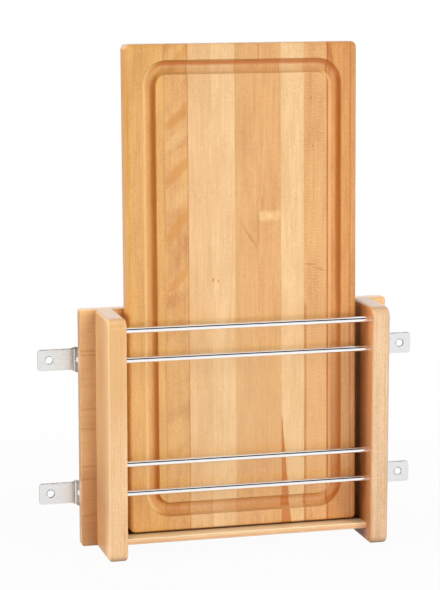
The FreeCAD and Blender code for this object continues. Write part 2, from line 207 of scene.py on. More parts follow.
class Wood(Surface):
    """Solid wood: the pattern fills the piece, so faces and end grain agree at an edge.

    The coordinates are in millimetres: along the grain, across it and into the piece.
    """

    def __init__(self, name, grain, seed):
        super().__init__(name)
        place = [axis * MM for axis in self.split(self.coordinates("Object"))]
        self.normal = self.split(self.coordinates("Normal"))
        order = {"X": (0, 2, 1), "Z": (2, 0, 1)}[grain]
        self.along, self.across, self.depth = (place[index] for index in order)
        self.end_face = self.step(self.maths("ABSOLUTE", self.normal[order[0]]), 0.55, 0.9)
        self.seed = seed * SEED_STRIDE

    def stretched(self, across_mm, along_mm, detail=2.0, shift=0.0):
        """Noise whose grains are so wide across the grain and so long along it.

        The shift leads to another part of the noise, and no two patterns share one.
        """
        vector = self.join(
            self.across / across_mm + (self.seed + shift),
            self.depth / across_mm,
            self.along / along_mm,
        )
        return self.noise(vector, detail)

    def waver(self, across_mm, along_mm, shift, swing, detail=1.0):
        """The same noise, as a swing to both sides of 0."""
        return (self.stretched(across_mm, along_mm, detail, shift) - 0.5) * swing

    def facing(self, direction, low=0.5, high=0.95):
        """1 where the surface looks in the direction, and 0 where it looks well away."""
        axis, sign = DIRECTIONS[direction]
        return self.step(self.normal[axis] * sign, low, high)

    def rings(self, heart_mm, ring_mm):
        """Growth rings: distance from a wandering heart line, in units of one ring.

        Each ring rises slowly through the early wood and falls at its thin late wood.
        The noise on the distance makes some rings wide and some narrow.
        """
        across = self.across - heart_mm[0] + self.waver(45.0, 200.0, 11.0, 9.0, 2.0)
        depth = self.depth - heart_mm[1]
        distance = (across * across + depth * depth) ** 0.5 / ring_mm
        phase = self.maths("FRACT", distance + self.waver(8.0, 400.0, 17.0, 3.2))
        return self.step(phase, 0.30, 0.92) * self.fall(phase, 0.92, 1.0)

    def flame(self, width_mm, length_mm, rise_degrees):
        """Diagonal strokes of figure that climb to the right, so wide and so long."""
        rise = math.radians(rise_degrees)
        rising = self.along * math.sin(rise) + self.across * math.cos(rise)
        crossing = self.along * math.cos(rise) - self.across * math.sin(rise)
        vector = self.join(rising / length_mm + self.seed, 0.0, crossing / width_mm)
        return self.step(self.noise(vector, 0.5), 0.46, 0.68)

    def ripple(self, period_mm):
        """Fine curl across the grain, in short wavering lines."""
        bend = self.waver(9.0, 9.0, 5.0, 3.0 * period_mm)
        angle = (self.along + bend) * (2 * math.pi / period_mm)
        return self.maths("SINE", angle) * 0.5 + 0.5

    def stroke(self, start, end, half_width_mm, wander_mm=0.0):
        """Soft stroke between two places (across, along): 1 on it and 0 away from it.

        It is an ellipse in the stroke's own directions, which fades from its middle
        outwards. The wander bends its long side with the grain.
        """
        length = math.dist(start, end)
        run, rise = ((b - a) / length for a, b in zip(start, end))
        across = self.across - (start[0] + end[0]) / 2
        along = self.along - (start[1] + end[1]) / 2
        lengthways = (across * run + along * rise) / (length / 2)
        sideways = along * run - across * rise
        if wander_mm:
            sideways = sideways + self.waver(7.0, 9.0, 53.0, wander_mm)
        far = lengthways ** 2.0 + (sideways / half_width_mm) ** 2.0
        return self.fall(far, 0.15, 1.5)


def wood(
    name, grain, seed, light, dark, heart_mm, ring_mm,
    figure=None, paint=None, bare=None, shade_painter=None,
):
    """A lacquered light hardwood, with fibres, streaks, rings, flecks and end grain.

    paint changes the colour of the wood, the last painter lays painted shade over the wood and
    the end grain, and bare tells where the lacquer is thin.
    """
    made = Wood(name, grain, seed)
    fibres = made.stretched(0.55, 16.0)
    streaks = made.stretched(2.4, 150.0, 2.0, 3.0)
    speckle = made.stretched(1.2, 2.0, 2.0, 13.0)
    cloud = made.stretched(15.0, 52.0, 2.0, 7.0)
    # Each pattern swings about its middle value and has its own weight in the colour.
    depth = (
        0.42
        + (fibres - 0.5) * 0.55
        + (speckle - 0.5) * 1.15
        + (streaks - 0.5) * 0.60
        + (cloud - 0.5) * 1.20
        + (made.rings(heart_mm, ring_mm) - 0.35) * 0.14
    )
    if figure == "flame":
        depth = depth + (made.flame(17.0, 48.0, 40.0) - 0.3) * 0.40
    elif figure == "ripple":
        depth = depth + (made.ripple(2.8) - 0.5) * 0.30
    elif figure == "lines":
        depth = depth + (made.stretched(1.0, 240.0, 2.0, 71.0) - 0.5) * 1.30
    colour = made.mix(depth, light, dark)
    flecks = made.step(made.stretched(0.9, 6.0, 1.0, 23.0), 0.66, 0.76)
    lines = made.step(made.stretched(1.1, 260.0, 1.0, 29.0), 0.62, 0.74)
    colour = made.mix(flecks * 0.22 + lines * 0.22, colour, shade(dark, 0.74))
    if paint:
        colour = paint(made, colour)
    colour = made.mix(made.end_face * END_FACE_MIX, colour, shade(dark, END_FACE_SHADE))
    # The last painter lays painted shade over the end grain as well.
    if shade_painter:
        colour = shade_painter(made, colour)
    inputs = {
        "Base Color": colour,
        "Roughness": 0.42 + (fibres - 0.5) * 0.20 + made.end_face * 0.10,
        "Coat Weight": 1 - bare(made) * LACQUER_CUT if bare else 1.0,
        "Coat Roughness": 0.13,
        "Specular IOR Level": 0.25,
    }
    return made.finish(inputs, fibres * 0.7 + flecks * -0.4, 0.25, 0.06)


# The light and the dark wood of each tone.
WOOD_TONES = {
    "honey": (linear(230, 178, 102), linear(202, 141, 70)),
    "amber": (linear(228, 176, 108), linear(198, 136, 72)),
    "toffee": (linear(228, 166, 98), linear(194, 127, 58)),
    "pale": (linear(237, 195, 141), linear(215, 165, 108)),
    "cream": (linear(243, 206, 154), linear(222, 175, 118)),
    "rose": (linear(231, 180, 120), linear(207, 152, 94)),
    "tan": (linear(232, 180, 118), linear(208, 150, 92)),
}
# Each stave's tone and figure, from left to right.
STAVE_WOOD = (
    ("honey", None), ("honey", None), ("amber", "flame"), ("pale", None),
    ("cream", None), ("rose", None), ("tan", None), ("cream", None),
    ("tan", "ripple"), ("toffee", None), ("toffee", None),
)
HEART_AND_SHADE_TONE = linear(180, 94, 28)         # heartwood lines, knots and checks, and painted shade on the left upright's outer side
FLAME_TONE = linear(206, 137, 42)        # dark strokes of flame figure
PALE_FIGURE_AND_LIGHT_TONE = linear(255, 222, 164)        # pale figure, and painted light on the board and in its groove
GROOVE_SHADE_AND_WEDGE_TONE = linear(198, 110, 30)       # painted shade on the juice groove's walls, and the dark heartwood wedge
RIM_LIGHT_TONE = linear(255, 222, 160)         # painted highlight on the groove's rim where it looks up
INNER_SHADE_TONE = linear(214, 128, 60)        # painted warm shade on the side of an upright towards the board
YELLOW_TONE = linear(222, 170, 104)      # the top of the left upright
SIDE_SHEEN_TONE = linear(255, 220, 176)       # painted sheen on the left upright's outer side near its front edge
EDGE_LIGHT_TONE = linear(255, 192, 104)   # painted light on the left edge of the board
LIP_LIGHT_TONE = linear(255, 238, 202)         # painted light on the shelf in front of the board
VENEER_TONE = linear(226, 150, 112)      # the middle veneer of the shelf
FOOT_TONE = linear(104, 48, 14)          # wood in deep shade, near the floor or the shelf

TINT_DEPTH_MM = 7.0              # below the board's face, a little past the groove's bottom
MARGIN_MM = 13.0                 # in from the board's edges, a little outside the groove
MIDDLE_VENEER_MM = 3.4           # above the shelf's underside
FAR_MM = 1000.0                  # past either end of the board


def groove_tint_and_shade(made, colour):
    """Routed wood in the juice groove, a little darker throughout, with painted shade where a
    wall looks left or down and in the groove's lower part, painted light where a wall looks
    right, and a painted highlight on the rim where it looks up."""
    low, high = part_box(STAVES[5])
    lean = LIFT_AXIS[1] / LIFT_AXIS[2]
    face_mm = low.y * MM - low.z * MM * lean
    below_face = made.depth - made.along * lean - face_mm
    above = made.fall(below_face, TINT_DEPTH_MM - 0.5, TINT_DEPTH_MM + 0.5)
    inside = made.step(below_face, 0.4, 2.0) * above
    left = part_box(STAVES[0])[0].x * MM
    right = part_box(STAVES[-1])[1].x * MM
    from_middle = made.maths("ABSOLUTE", made.across - (left + right) / 2)
    reach = (right - left) / 2 - MARGIN_MM
    top = high.z * MM - MARGIN_MM
    border = made.fall(from_middle, reach - 1.0, reach + 1.0)
    border = border * made.fall(made.along, top - 1.0, top + 1.0)
    inside = inside * border
    # Painted shade where a wall looks left or down, more of it in the lower part of the groove,
    # and painted light where a wall looks right.
    upper = made.step(made.along, -110.0, 60.0)
    deep = made.facing("left", 0.05, 0.75) * 0.68
    under = made.facing("down", 0.0, 0.42) * upper * 0.75
    pale = made.facing("right", 0.15, 0.60)
    shaded = inside * (0.10 + (1 - upper) * 0.22 + made.maths("MAXIMUM", deep, under))
    shaded = shaded * (1 - pale)
    colour = made.mix(shaded, colour, GROOVE_SHADE_AND_WEDGE_TONE)
    colour = made.mix(inside * pale * 0.50, colour, PALE_FIGURE_AND_LIGHT_TONE)
    # Painted highlight on the rim where the wall looks up.
    rim = made.step(below_face, 0.0, 0.1) * made.fall(below_face, 1.6, 3.2) * border
    return made.mix(rim * made.facing("up", 0.4, 0.8) * upper * 0.9, colour, RIM_LIGHT_TONE)


def board_foot_shade(made, colour):
    """Painted shade on the foot of the board and its rounded edge, where it stands on the shelf.
    """
    low_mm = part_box(STAVES[5])[0].z * MM
    foot = made.fall(made.along, low_mm + 4.0, low_mm + 6.0)
    return made.mix(made.facing("down", 0.25, 0.70) * foot, colour, FOOT_TONE)


def strokes(marks):
    """Painter of single marks on the front face.

    Each is (tone, strength, start, end, half width) and may have a wander, in millimetres.
    """
    def paint(made, colour):
        front = made.facing("front", 0.0, 0.3)
        for tone, strength, *shape in marks:
            colour = made.mix(made.stroke(*shape) * front * strength, colour, tone)
        return colour
    return paint


def painted_light_belt(made, colour):
    """Painted light: a paler belt across the board behind the rails."""
    height = made.along + made.waver(20.0, 60.0, 79.0, 30.0)
    belt = made.step(height, -75.0, -25.0) * made.fall(height, 80.0, 140.0)
    return made.mix(belt * 0.13, colour, PALE_FIGURE_AND_LIGHT_TONE)


def shaded_inner_side(made, colour):
    """Painted shade on the side of the right upright that faces the board: a deeper brown, and
    deepest towards the panel."""
    inner = made.facing("left")
    colour = made.mix(inner * 0.62, colour, INNER_SHADE_TONE)
    waver = made.stretched(5.0, 300.0, 1.0, 83.0) * 8.0
    far = made.step(made.depth + waver, -84.0, -56.0)
    return made.mix(inner * far * 0.60, colour, FOOT_TONE)


def yellow_top_and_side_sheen(made, colour):
    """The upper part of the left upright is a yellower brown than its foot. Its outer side goes
    from painted shade, a deeper brown, at the panel to a painted sheen at its pale front edge,
    with more painted shade towards the foot."""
    upper = made.step(made.along + made.waver(12.0, 60.0, 73.0, 40.0), -50.0, 75.0)
    colour = made.mix(upper * made.facing("front") * 0.62, colour, YELLOW_TONE)
    outer = made.facing("left")
    sheen_reach = made.fall(made.depth, -92.0, -62.0)
    low = made.fall(made.along, -120.0, 20.0)
    # Painted sheen near the front of the outer side, and painted shade behind it, more towards
    # the foot.
    colour = made.mix(outer * sheen_reach * 0.88, colour, SIDE_SHEEN_TONE)
    return made.mix(outer * (1 - sheen_reach) * (low * 0.30 + 0.08), colour, HEART_AND_SHADE_TONE)


def outer_edge(made):
    """Where a stave's wood belongs to the left edge of the board."""
    outer_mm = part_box(STAVES[0])[0].x * MM
    reach = made.fall(made.across, outer_mm + 0.8, outer_mm + 3.2)
    return reach * made.facing("left", 0.75, 1.0)


def lit_edge(made, colour):
    """Painted light: the left edge of the board is painted paler than its face, for the sheen it
    catches.
    """
    return made.mix(outer_edge(made) * 0.42, colour, EDGE_LIGHT_TONE)


def bare_edge(made):
    """The lacquer is thinner on the left edge of the board."""
    return outer_edge(made) * 0.47


def upright_foot_shade(made, colour):
    """Painted shade on the rounded foot of an upright, darker the more it faces the floor."""
    return made.mix(made.facing("down", 0.0, 1.0) * 0.34, colour, FOOT_TONE)


def bare_foot(made):
    """The lacquer is thin on the sides of an upright's foot, and underneath it."""
    low = made.fall(made.along, -105.0, -66.0)
    side = made.step(made.maths("ABSOLUTE", made.normal[0]), 0.5, 0.9)
    return made.maths("MAXIMUM", low * side, made.facing("down", 0.1, 0.8))


def panel_lines(heights_mm, joint_mm):
    """Painter of curved dark lines along the panel, and a deeper plank below its joint."""
    def paint(made, colour):
        waver = made.waver(14.0, 24.0, 61.0, 6.0)
        for height_mm in heights_mm:
            away = made.maths("ABSOLUTE", made.across - height_mm + waver)
            colour = made.mix(made.fall(away, 0.2, 1.5) * 0.26, colour, HEART_AND_SHADE_TONE)
        lower = made.fall(made.across + waver * 0.5, joint_mm - 4.0, joint_mm + 4.0)
        return made.mix(lower * 0.28, colour, HEART_AND_SHADE_TONE)
    return paint


def veneers_shade_and_light(made, colour):
    """Plywood: the front edge shows two veneer lines. On top, painted shade lies under the
    board's front edge and painted light in front of the board."""
    low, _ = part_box("bottom_shelf")
    edge = made.facing("front", 0.6)
    height = made.across - low.z * MM + made.waver(10.0, 60.0, 67.0, 0.8)
    middle = made.fall(made.maths("ABSOLUTE", height - MIDDLE_VENEER_MM), 0.5, 1.3)
    lowest = made.fall(height, 0.3, 1.2)
    colour = made.mix(edge * middle * 0.55, colour, VENEER_TONE)
    colour = made.mix(edge * lowest * 0.5, colour, HEART_AND_SHADE_TONE)
    front_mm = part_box(STAVES[5])[0].y * MM
    flat = made.facing("up", 0.3, 0.7)
    # Painted shade on the shelf's top under the board's front edge.
    under = made.step(made.depth, front_mm - 1.5, front_mm + 1.5) * flat
    colour = made.mix(under * 0.96, colour, shade(FOOT_TONE, 0.6))
    lip_mm = low.y * MM
    # Painted light on the shelf's top in front of the board.
    lip_light = made.fall(made.depth, lip_mm + 8.0, lip_mm + 22.0) * flat
    return made.mix(lip_light * 0.95, colour, LIP_LIGHT_TONE)


def dark_wedge(high_mm, edge_mm, lean):
    """Painter of dark heartwood that widens downwards from one side of a stave."""
    def paint(made, colour):
        reach = (high_mm - made.along) * lean
        side_mm = edge_mm + reach + made.waver(6.0, 40.0, 31.0, 2.4)
        inside = made.step(side_mm - made.across, -0.5, 0.5)
        below = made.fall(made.along, high_mm - 12.0, high_mm)
        return made.mix(inside * below * 0.86, colour, GROOVE_SHADE_AND_WEDGE_TONE)
    return paint


def dark_line(edge_mm, width_mm, strength, low_mm=-FAR_MM, high_mm=FAR_MM):
    """Painter of a dark line along one side of a stave, which wavers with the grain."""
    def paint(made, colour):
        waver = made.waver(5.0, 60.0, 41.0, 2.0)
        away = made.maths("ABSOLUTE", made.across - edge_mm + waver)
        reach = made.step(made.along, low_mm, low_mm + 8.0)
        reach = reach * made.fall(made.along, high_mm - 8.0, high_mm)
        broken = 0.55 + made.stretched(20.0, 35.0, 1.0, 43.0) * 0.9
        line = made.fall(away, 0.0, width_mm) * reach * broken
        return made.mix(line * strength, colour, HEART_AND_SHADE_TONE)
    return paint


# ---- metal --------------------------------------------------------------------------
WALL_SHADE_TONE = (0.50, 0.40, 0.34, 1.0)      # painted shade and a painted brown reflection on the walls of a bend
EDGE_AND_SHADE_TONE = (0.16, 0.14, 0.13, 1.0)      # cut edges, the tab's upper edge, and painted shade round the holes
TAB_HALF_MM = 11.0               # half the height of a bracket's tab


def chrome(name, colour, roughness):
    """Polished plate: long polishing lines and a faint unevenness."""
    made = Surface(name)
    x, y, z = (axis * MM for axis in made.split(made.coordinates("Object")))
    lines = made.noise(made.join(x / 60.0, y / 1.6, z / 1.6), 1.0)
    cloud = made.noise(made.join(x / 18.0, y / 9.0, z / 9.0), 2.0)
    inputs = {
        "Base Color": made.mix(cloud * 0.35, colour, shade(colour, 0.90)),
        "Metallic": 1.0,
        "Roughness": roughness + (lines - 0.5) * 0.05 + (cloud - 0.5) * 0.05,
    }
    return made.finish(inputs, lines, 0.03, 0.02)


def zinc(name, colour, roughness, holes=()):
    """Satin plated sheet: rolling lines along its length, spangle and small scuffs.

    The cut edges are duller than the flat faces, and the walls of a bend carry painted shade and
    a painted brown reflection of the wood. Each hole, given as (x, z, radius) in millimetres,
    has a broken ring of painted shade round its edge, and the upper edge of the tab that it is
    in has a broken dark line.
    """
    made = Surface(name)
    x, y, z = (axis * MM for axis in made.split(made.coordinates("Object")))
    sideways, _, upwards = made.split(made.coordinates("Normal"))
    rolled = made.noise(made.join(x / 16.0, y / 3.0, z / 0.9), 2.0)
    spangle = made.noise(made.join(x / 3.0, y / 3.0, z / 3.0), 3.0)
    scuffs = made.step(made.noise(made.join(x / 1.4, y / 6.0, z / 5.0), 2.0), 0.66, 0.72)
    colour = made.mix(spangle * 0.3 + scuffs * 0.2, colour, shade(colour, 0.84))
    if holes:
        wall = made.step(made.maths("ABSOLUTE", sideways), 0.75, 0.97)
        cut = made.step(made.maths("ABSOLUTE", upwards), 0.5, 0.9)
        # Painted shade and a painted brown reflection on the walls of a bend.
        colour = made.mix(wall * 0.85, colour, WALL_SHADE_TONE)
        colour = made.mix(cut * 0.75, colour, EDGE_AND_SHADE_TONE)
        broken = made.step(made.noise(made.join(x / 2.6, y, z / 2.6), 0.0), 0.40, 0.55)
        for row_z in sorted({hole_z for hole_x, hole_z, radius in holes}):
            rim = made.step(z - row_z, TAB_HALF_MM - 1.0, TAB_HALF_MM - 0.4)
            rim = rim * made.fall(z - row_z, TAB_HALF_MM + 0.2, TAB_HALF_MM + 0.6)
            colour = made.mix(rim * (0.30 + broken * 0.40), colour, EDGE_AND_SHADE_TONE)
        # A broken ring of painted shade round each hole, where its inner wall is in shade.
        for hole_x, hole_z, radius in holes:
            away = ((x - hole_x) ** 2.0 + (z - hole_z) ** 2.0) ** 0.5 - radius
            hole_shade = made.fall(away, 0.3, 1.0)
            colour = made.mix(hole_shade * (0.20 + broken * 0.75), colour, EDGE_AND_SHADE_TONE)
    inputs = {
        "Base Color": colour,
        "Metallic": 1.0,
        "Roughness": roughness + (rolled - 0.5) * 0.18 + scuffs * 0.10,
    }
    return made.finish(inputs, rolled + scuffs * -0.5, 0.10, 0.03)


def dress(names, material):
    """Give CAD nodes one material in every slot."""
    for name in names:
        slots = frame["nodes"][name].material_slots
        if not slots:
            raise RuntimeError(f"node {name} has no material slot")
        for slot in slots:
            slot.material = material


def middle_mm(name):
    """Middle of a node's box, in millimetres."""
    low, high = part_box(name)
    return [(a + b) / 2 * MM for a, b in zip(low, high)]


# ---- settings -----------------------------------------------------------------------
class BoardSettings(bpy.types.PropertyGroup):
    """What a user would change on the cutting board."""

    ring_width: bpy.props.FloatProperty(
        name="Ring Width", description="Distance between growth rings in a stave",
        default=0.0034, min=0.0005, unit="LENGTH",
    )


class RackSettings(bpy.types.PropertyGroup):
    """What a user would change on the rack."""

    left_light: bpy.props.FloatVectorProperty(
        name="Left Upright Light", description="Early wood of the left upright",
        default=linear(246, 210, 162), size=4, min=0, max=1, subtype="COLOR",
    )
    left_dark: bpy.props.FloatVectorProperty(
        name="Left Upright Dark", description="Late wood of the left upright",
        default=linear(228, 180, 126), size=4, min=0, max=1, subtype="COLOR",
    )
    right_light: bpy.props.FloatVectorProperty(
        name="Right Upright Light", description="Early wood of the right upright",
        default=linear(238, 204, 164), size=4, min=0, max=1, subtype="COLOR",
    )
    right_dark: bpy.props.FloatVectorProperty(
        name="Right Upright Dark", description="Late wood of the right upright",
        default=linear(208, 164, 124), size=4, min=0, max=1, subtype="COLOR",
    )
    panel_light: bpy.props.FloatVectorProperty(
        name="Panel Light", description="Early wood of the rear panel",
        default=linear(250, 206, 147), size=4, min=0, max=1, subtype="COLOR",
    )
    panel_dark: bpy.props.FloatVectorProperty(
        name="Panel Dark", description="Late wood of the rear panel",
        default=linear(234, 182, 123), size=4, min=0, max=1, subtype="COLOR",
    )
    shelf_light: bpy.props.FloatVectorProperty(
        name="Shelf Light", description="Early wood of the bottom shelf",
        default=linear(246, 212, 162), size=4, min=0, max=1, subtype="COLOR",
    )
    shelf_dark: bpy.props.FloatVectorProperty(
        name="Shelf Dark", description="Late wood of the bottom shelf",
        default=linear(232, 188, 138), size=4, min=0, max=1, subtype="COLOR",
    )


class MetalSettings(bpy.types.PropertyGroup):
    """What a user would change on the metal pieces."""

    chrome_colour: bpy.props.FloatVectorProperty(
        name="Chrome", description="Reflection colour of the rails",
        default=(0.97, 0.96, 0.95, 1.0), size=4, min=0, max=1, subtype="COLOR",
    )
    zinc_colour: bpy.props.FloatVectorProperty(
        name="Zinc", description="Reflection colour of the brackets and screws",
        default=(0.865, 0.868, 0.865, 1.0), size=4, min=0, max=1, subtype="COLOR",
    )


class StudioSettings(bpy.types.PropertyGroup):
    """Camera, lights and background."""

    camera_place: bpy.props.FloatVectorProperty(
        name="Camera", description="Where the camera stands",
        default=(-0.58945, -2.20614, 0.51459), size=3, subtype="TRANSLATION",
    )
    camera_turn: bpy.props.FloatProperty(
        name="Turn", description="How far the camera is turned to its right",
        default=math.radians(14.764), subtype="ANGLE",
    )
    camera_dip: bpy.props.FloatProperty(
        name="Dip", description="How far the camera looks down",
        default=math.radians(9.58), subtype="ANGLE",
    )
    camera_lens: bpy.props.FloatProperty(
        name="Lens", description="Focal length in millimetres on a 36 mm sensor",
        default=136.4, min=10,
    )
    fill: bpy.props.FloatProperty(
        name="Fill", description="Light from all round", default=0.01, min=0,
    )


# ---- operators ----------------------------------------------------------------------
class RACK_OT_board(bpy.types.Operator):
    """Give each stave of the cutting board its own wood"""

    bl_idname = "board_rack.board"
    bl_label = "Cutting Board"

    def execute(self, context):
        """Dress the staves from left to right."""
        if len(STAVES) != len(STAVE_WOOD):
            raise RuntimeError(f"{len(STAVES)} staves, but wood for {len(STAVE_WOOD)}")
        ring_mm = context.scene.board_finish.ring_width * MM
        special = self.special_staves()
        for index, (name, (tone, figure)) in enumerate(zip(STAVES, STAVE_WOOD)):
            light, dark = WOOD_TONES[tone]
            x, y, _ = middle_mm(name)
            # Each stave is from its own place in a log, so its rings curve their own way.
            side = 1 if index % 2 else -1
            heart = (x + side * (20.0 + 7.0 * (index % 4)), y + 30.0 + 9.0 * (index % 3))
            # Painted light across the board, each stave's own marks, the groove with its painted
            # shade and light, and painted shade at the foot.
            painters = (painted_light_belt, *special.get(index, ()), groove_tint_and_shade, board_foot_shade)
            made = wood(
                f"board_wood_{index + 1:02d}", "Z", index + 1, light, dark, heart, ring_mm,
                figure=figure, paint=self.in_turn(painters),
                bare=bare_edge if index == 0 else None,
            )
            dress([name], made)
        return {"FINISHED"}

    @staticmethod
    def in_turn(painters):
        """One painter that applies several, each over the one before."""
        def paint(made, colour):
            for painter in painters:
                colour = painter(made, colour)
            return colour
        return paint

    @staticmethod
    def special_staves():
        """Marks that single staves have, by their place from the left."""
        left = [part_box(name)[0].x * MM for name in STAVES]
        right = [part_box(name)[1].x * MM for name in STAVES]
        return {
            0: [lit_edge],
            1: [dark_line(right[1] - 0.6, 1.4, 0.30)],
            2: [
                dark_line(right[2] - 0.5, 1.6, 0.45),
                strokes([
                    (FLAME_TONE, 0.62, (-79.0, 307.0), (-51.0, 333.0), 5.2, 7.0),
                    (FLAME_TONE, 0.62, (-80.0, 250.0), (-50.0, 281.0), 5.8, 7.0),
                    (FLAME_TONE, 0.60, (-80.0, 188.0), (-52.0, 230.0), 5.4, 7.0),
                    (FLAME_TONE, 0.45, (-70.0, 371.0), (-50.0, 394.0), 5.0, 6.0),
                    (FLAME_TONE, 0.50, (-78.0, 142.0), (-54.0, 170.0), 4.6, 7.0),
                    (PALE_FIGURE_AND_LIGHT_TONE, 0.20, (-78.0, 285.0), (-54.0, 309.0), 6.0, 7.0),
                    (PALE_FIGURE_AND_LIGHT_TONE, 0.12, (-78.0, 225.0), (-54.0, 249.0), 6.0, 7.0),
                ]),
            ],
            4: [strokes([
                (HEART_AND_SHADE_TONE, 0.75, (-30.2, 152.6), (-29.6, 157.2), 0.9),
                (HEART_AND_SHADE_TONE, 0.60, (-24.4, 152.0), (-24.2, 155.4), 0.8),
            ])],
            5: [strokes([(HEART_AND_SHADE_TONE, 0.42, (-1.0, 212.0), (17.0, 185.5), 1.0, 1.5)])],
            6: [
                strokes([
                    (PALE_FIGURE_AND_LIGHT_TONE, 0.36, (15.5, 217.5), (33.0, 217.5), 6.0, 2.0),
                    (PALE_FIGURE_AND_LIGHT_TONE, 0.34, (26.0, 218.0), (43.0, 218.0), 5.6, 2.0),
                    (HEART_AND_SHADE_TONE, 0.28, (21.0, 222.0), (22.2, 239.0), 1.1, 1.0),
                    (HEART_AND_SHADE_TONE, 0.22, (34.6, 219.0), (35.6, 229.0), 1.1, 1.0),
                ]),
                dark_line(left[6] + 0.5, 1.4, 0.60, 186.0, 224.0),
                dark_line(left[6] + 0.5, 1.4, 0.60, 366.0, 400.0),
            ],
            7: [dark_wedge(16.0, left[7] + 0.4, 0.085)],
            8: [
                dark_line(left[8] + 1.4, 2.4, 0.50, -200.0, 130.0),
                strokes([
                    (HEART_AND_SHADE_TONE, 0.55, (73.2, 334.0), (73.2, 338.0), 0.8),
                    (HEART_AND_SHADE_TONE, 0.55, (75.1, 285.0), (75.1, 289.0), 0.8),
                    (HEART_AND_SHADE_TONE, 0.34, (66.0, 168.2), (79.0, 166.0), 1.2, 2.5),
                    (HEART_AND_SHADE_TONE, 0.30, (75.0, 164.0), (90.0, 159.6), 1.2, 2.5),
                ]),
            ],
            9: [
                dark_line(left[9] + 1.2, 2.2, 0.85),
                dark_line(left[9] + 4.6, 1.4, 0.55, 330.0, 420.0),
                strokes([
                    (HEART_AND_SHADE_TONE, 0.55, (89.0, 396.0), (97.0, 366.0), 2.4, 1.0),
                    (HEART_AND_SHADE_TONE, 0.30, (90.0, -66.0), (91.0, 96.0), 7.0, 7.0),
                    (HEART_AND_SHADE_TONE, 0.22, (98.0, -80.0), (99.0, 40.0), 4.0, 5.0),
                ]),
            ],
            10: [dark_line(left[10] + 1.2, 1.6, 0.60)],
        }


class RACK_OT_uprights(bpy.types.Operator):
    """Give the two uprights their wood, each from its own plank"""

    bl_idname = "board_rack.uprights"
    bl_label = "Uprights"

    HEART_MM = (55.0, 60.0)          # from the upright's middle: to the right, and back
    RING_MM = 4.2

    def execute(self, context):
        """Dress both uprights."""
        finish = context.scene.rack_finish
        planks = {
            "left_upright": (21, finish.left_light, finish.left_dark, yellow_top_and_side_sheen),
            "right_upright": (22, finish.right_light, finish.right_dark, shaded_inner_side),
        }
        for name, (seed, light, dark, painter) in planks.items():
            x, y, _ = middle_mm(name)
            heart = (x + self.HEART_MM[0], y + self.HEART_MM[1])
            made = wood(
                f"{name}_wood", "Z", seed, light, dark, heart, self.RING_MM,
                figure="lines", paint=painter, bare=bare_foot, shade_painter=upright_foot_shade,
            )
            dress([name], made)
        return {"FINISHED"}


class RACK_OT_panel(bpy.types.Operator):
    """Give the rear panel its wood, with the grain across"""

    bl_idname = "board_rack.panel"
    bl_label = "Rear Panel"

    HEART_MM = (30.0, 70.0)          # from the panel's middle: up, and back
    RING_MM = 6.0
    LINES_MM = (84.0, 79.5, 24.0, 3.0, -36.0, -50.0, -87.0)
    JOINT_MM = -40.0

    def execute(self, context):
        """Dress the panel."""
        finish = context.scene.rack_finish
        _, y, z = middle_mm("rear_panel")
        heart = (z + self.HEART_MM[0], y + self.HEART_MM[1])
        made = wood(
            "rear_panel_wood", "X", 31, finish.panel_light, finish.panel_dark, heart,
            self.RING_MM, paint=panel_lines(self.LINES_MM, self.JOINT_MM),
        )
        dress(["rear_panel"], made)
        return {"FINISHED"}


class RACK_OT_shelf(bpy.types.Operator):
    """Give the bottom shelf its wood, with the grain along it"""

    bl_idname = "board_rack.shelf"
    bl_label = "Bottom Shelf"

    HEART_MM = (-25.0, 20.0)         # from the shelf's middle: up, and back
    RING_MM = 2.4

    def execute(self, context):
        """Dress the shelf."""
        finish = context.scene.rack_finish
        _, y, z = middle_mm("bottom_shelf")
        heart = (z + self.HEART_MM[0], y + self.HEART_MM[1])
        made = wood(
            "bottom_shelf_wood", "X", 41, finish.shelf_light, finish.shelf_dark, heart,
            self.RING_MM, paint=veneers_shade_and_light,
        )
        dress(["bottom_shelf"], made)
        return {"FINISHED"}


class RACK_OT_metal(bpy.types.Operator):
    """Give the rails, the brackets and the screws their metal"""

    bl_idname = "board_rack.metal"
    bl_label = "Rails, Brackets and Screws"

    HOLE_INSET_MM = 12.0             # from the tab's end to the middle of its hole
    HOLE_RADIUS_MM = 3.75
    RAIL_ROUGHNESS = 0.07
    BRACKET_ROUGHNESS = 0.30
    SCREW_ROUGHNESS = 0.36

    def execute(self, context):
        """Dress all the metal."""
        finish = context.scene.metal_finish
        plated = chrome("rail_chrome_finish", finish.chrome_colour, self.RAIL_ROUGHNESS)
        dress(RAILS, plated)
        sheet = zinc(
            "bracket_zinc_finish", finish.zinc_colour, self.BRACKET_ROUGHNESS, self.holes(),
        )
        dress(BRACKETS, sheet)
        dress(SCREWS, zinc("screw_zinc_finish", finish.zinc_colour, self.SCREW_ROUGHNESS))
        return {"FINISHED"}

    def holes(self):
        """The hole in each bracket's tab, so far in from the tab's outer end."""
        found = []
        for name in BRACKETS:
            low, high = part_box(name)
            end, inwards = (low.x, 1) if "left" in name else (high.x, -1)
            hole_x = end * MM + inwards * self.HOLE_INSET_MM
            found.append((hole_x, middle_mm(name)[2], self.HOLE_RADIUS_MM))
        return found


